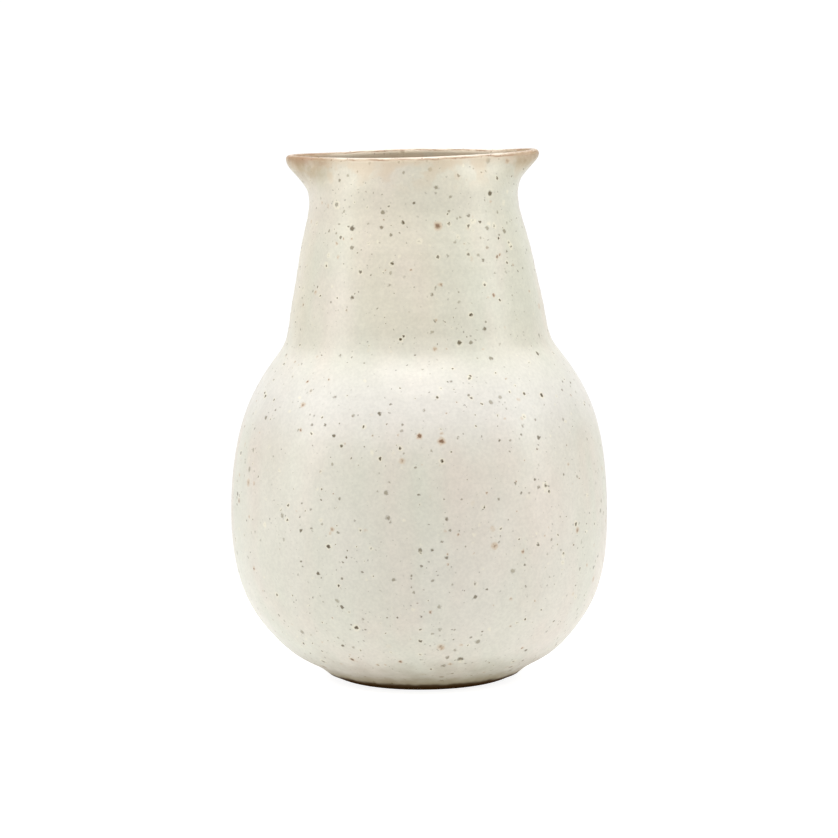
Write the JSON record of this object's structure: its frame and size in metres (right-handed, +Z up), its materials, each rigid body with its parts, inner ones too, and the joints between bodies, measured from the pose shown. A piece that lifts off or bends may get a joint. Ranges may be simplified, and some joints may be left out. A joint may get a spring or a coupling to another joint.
{
  "type": "stoneware pottery vase",
  "caption": "Round-bellied stoneware vase with a conical neck, opposite pinched pouring spouts, a speckled satin glaze and a bare clay foot.",
  "frame": {"origin": "centre of the foot ring's resting plane", "axes": "+Z up along the vase's axis; the two spouts point along -X and +X"},
  "size_m": [0.1652, 0.1652, 0.2319],
  "materials": {
    "bare_clay": "bare fired stoneware, dark brown and rough",
    "body_clay": "fired brown stoneware, bare only on the floor of the well inside the foot",
    "outer_glaze": "satin cream glaze with brown and olive specks",
    "lip_glaze": "the cream glaze, breaking thin and pinkish brown over the lip",
    "liner_glaze": "satin cream liner glaze with fewer specks"
  },
  "bodies": {
    "root": {"clay_foot": "bare_clay", "clay_belly": "body_clay", "clay_neck": "body_clay", "clay_mouth": "body_clay", "glaze_belly": "outer_glaze", "glaze_neck": "outer_glaze", "glaze_mouth": "lip_glaze", "liner_belly": "liner_glaze", "liner_neck": "liner_glaze"}
  },
  "joints": []
}
